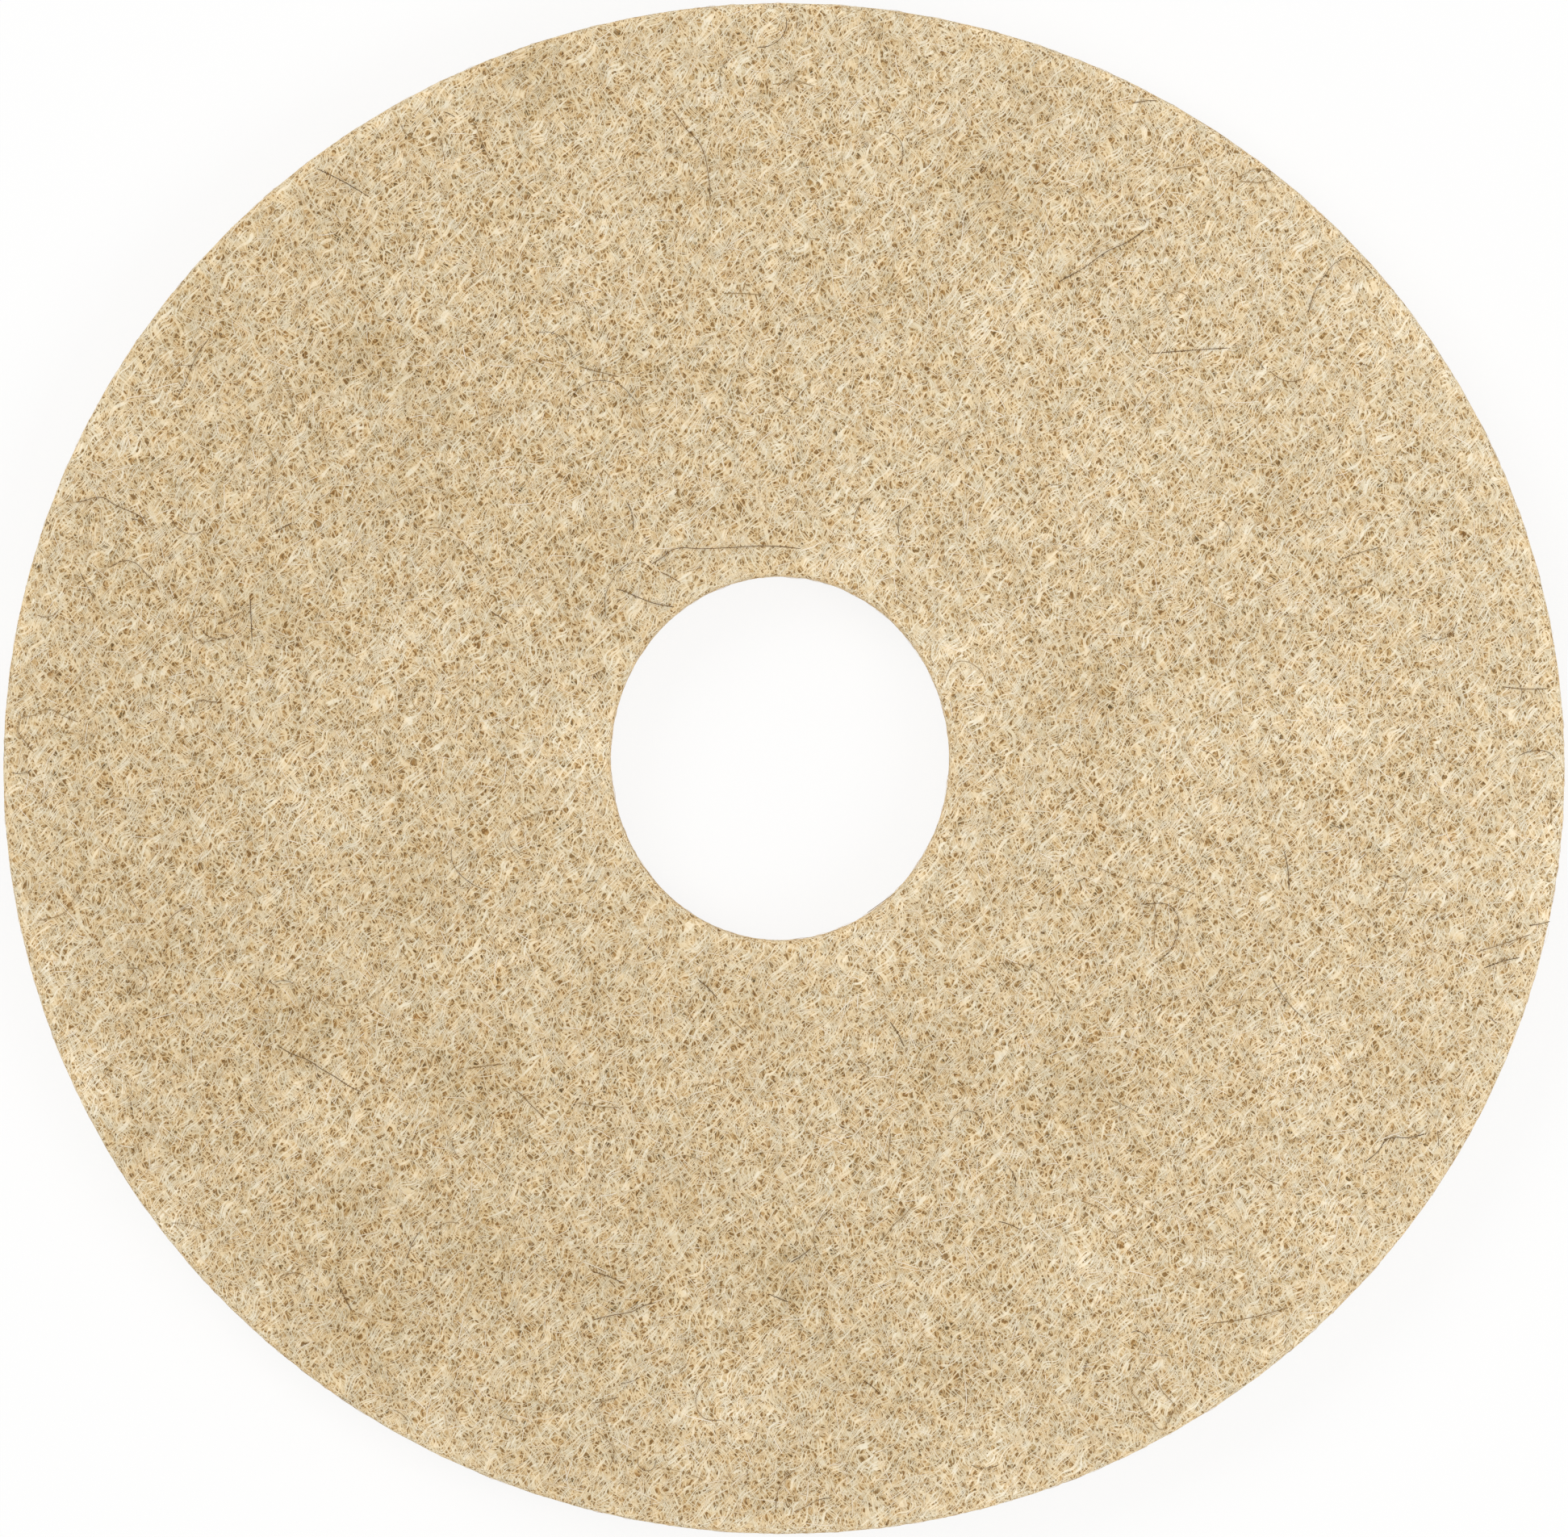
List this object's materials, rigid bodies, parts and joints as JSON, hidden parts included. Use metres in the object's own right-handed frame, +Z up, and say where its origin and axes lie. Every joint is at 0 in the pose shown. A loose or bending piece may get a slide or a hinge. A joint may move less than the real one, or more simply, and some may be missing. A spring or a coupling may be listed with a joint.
{
  "type": "floor polishing pad",
  "caption": "Thick near-round nonwoven floor polishing pad of pale fibre and natural hair, with a centre hole for the pad holder's ring.",
  "frame": {"origin": "on the plane of the underside, in the middle of the outer outline", "axes": "+Z up through the thickness, +X along the longer axis of the slightly oval outline"},
  "size_m": [0.385, 0.3774, 0.025],
  "materials": {
    "fibre_web": "matte"
  },
  "bodies": {
    "root": {"polishing_pad": "fibre_web"}
  },
  "joints": []
}
